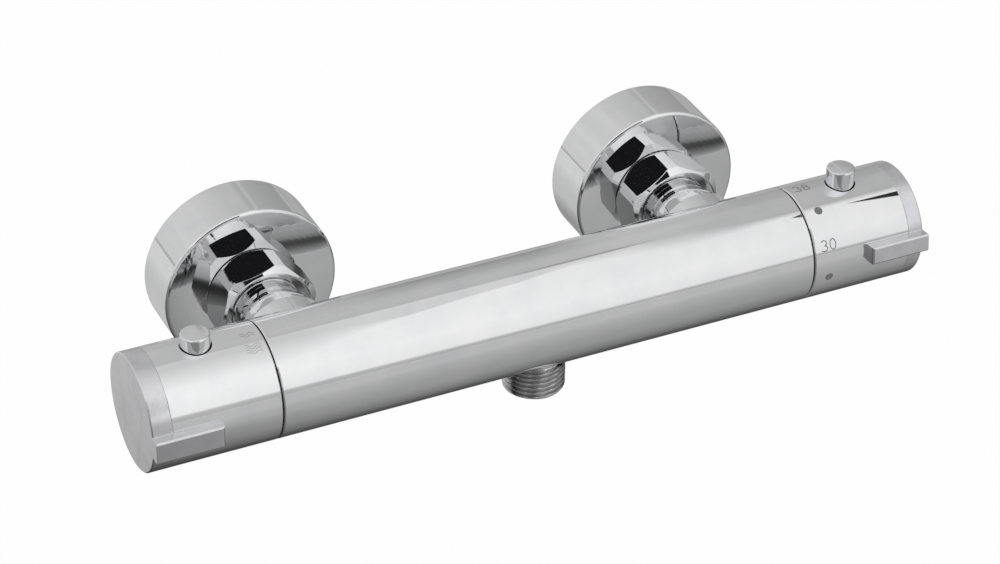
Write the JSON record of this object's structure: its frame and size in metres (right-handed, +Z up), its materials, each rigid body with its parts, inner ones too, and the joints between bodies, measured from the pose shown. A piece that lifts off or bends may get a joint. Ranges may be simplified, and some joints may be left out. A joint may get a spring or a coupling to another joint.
{
  "type": "thermostatic shower valve",
  "caption": "Exposed bar-type thermostatic shower valve with lever knobs at both ends, push-button stops, two wall inlets with deep shrouds and a threaded hose outlet below.",
  "frame": {"origin": "on the wall plane, halfway between the centres of the two wall inlets, which are 150 mm apart", "axes": "+X along the bar from the flow knob to the temperature knob, +Y into the wall so the front faces -Y, +Z up"},
  "size_m": [0.2755, 0.1047, 0.06],
  "materials": {
    "polished_chrome": "polished",
    "satin_chrome": "satin",
    "raw_brass": "machined",
    "thread_steel": "machined",
    "black_rubber": "matte",
    "white_ceramic": "gloss",
    "grey_plastic": "matte",
    "spring_steel": "drawn"
  },
  "bodies": {
    "valve": {"valve_body": "polished_chrome", "hot_wall_connector": "thread_steel", "cold_wall_connector": "thread_steel", "hot_shroud": "polished_chrome", "cold_shroud": "polished_chrome", "shroud_seals": "black_rubber", "hot_union_nut": "polished_chrome", "cold_union_nut": "polished_chrome", "union_washers": "black_rubber", "hot_strainer": "spring_steel", "cold_strainer": "spring_steel", "hot_union_tail": "raw_brass", "cold_union_tail": "raw_brass", "tail_o_rings": "black_rubber", "hot_check_valve": "grey_plastic", "cold_check_valve": "grey_plastic", "hot_check_spring": "spring_steel", "cold_check_spring": "spring_steel", "outlet_nipple": "thread_steel", "outlet_o_ring": "black_rubber", "flow_cartridge_body": "raw_brass", "flow_cartridge_o_ring": "black_rubber", "flow_seat_seal": "black_rubber", "flow_fixed_disc": "white_ceramic", "flow_gland_nut": "raw_brass", "flow_stop_ring": "grey_plastic", "thermostat_housing": "raw_brass", "thermostat_bonnet": "raw_brass", "thermostat_o_rings": "black_rubber", "thermostat_gland_nut": "raw_brass", "temperature_stop_ring": "grey_plastic", "return_spring": "spring_steel"},
    "flow_knob": {"flow_knob_sleeve": "polished_chrome", "flow_knob_cap": "satin_chrome", "flow_knob_insert": "grey_plastic", "flow_knob_screw": "spring_steel", "flow_spindle": "raw_brass", "flow_spindle_o_ring": "black_rubber", "flow_spindle_clip": "spring_steel", "flow_moving_disc": "white_ceramic", "flow_button_spring": "spring_steel"},
    "flow_button_body": {"flow_button": "polished_chrome"},
    "temperature_knob": {"temperature_knob_sleeve": "polished_chrome", "temperature_knob_cap": "satin_chrome", "temperature_knob_insert": "grey_plastic", "temperature_knob_screw": "spring_steel", "temperature_spindle": "raw_brass", "temperature_spindle_o_ring": "black_rubber", "temperature_spindle_clip": "spring_steel", "temperature_button_spring": "spring_steel"},
    "temperature_button_body": {"temperature_button": "polished_chrome"},
    "shuttle": {"mixing_shuttle": "grey_plastic", "wax_element": "raw_brass", "overload_carrier": "raw_brass", "overload_spring": "spring_steel"},
    "hot_poppet": {"hot_check_poppet": "white_ceramic"},
    "cold_poppet": {"cold_check_poppet": "white_ceramic"}
  },
  "joints": [
    {"name": "flow_turn", "type": "hinge", "parent": "valve", "child": "flow_knob", "pos_m": [0, -0.0685, 0], "axis": [1, 0, 0], "range_deg": [-90, 0]},
    {"name": "flow_button_press", "type": "slide", "parent": "flow_knob", "child": "flow_button_body", "axis": [0, 0, -1], "range_m": [0, 0.002], "stiffness_N_per_m": 2200, "springref_m": -0.002, "deforming": ["flow_button_spring"]},
    {"name": "temperature_turn", "type": "hinge", "parent": "valve", "child": "temperature_knob", "pos_m": [0, -0.0685, 0], "axis": [1, 0, 0], "range_deg": [-160, 107]},
    {"name": "temperature_button_press", "type": "slide", "parent": "temperature_knob", "child": "temperature_button_body", "axis": [0, 0, -1], "range_m": [0, 0.002], "stiffness_N_per_m": 2200, "springref_m": -0.002, "deforming": ["temperature_button_spring"]},
    {"name": "shuttle_slide", "type": "slide", "parent": "valve", "child": "shuttle", "axis": [1, 0, 0], "range_m": [-0.00046, 0.00031], "deforming": ["return_spring"]},
    {"name": "hot_poppet_slide", "type": "slide", "parent": "valve", "child": "hot_poppet", "axis": [0, -1, 0], "range_m": [0, 0.002], "stiffness_N_per_m": 160, "springref_m": -0.002, "deforming": ["hot_check_spring"]},
    {"name": "cold_poppet_slide", "type": "slide", "parent": "valve", "child": "cold_poppet", "axis": [0, -1, 0], "range_m": [0, 0.002], "stiffness_N_per_m": 160, "springref_m": -0.002, "deforming": ["cold_check_spring"]}
  ],
  "couplings": [
    {"joint": "shuttle_slide", "follows": "temperature_turn", "m_per_rad": 0.00015915}
  ]
}
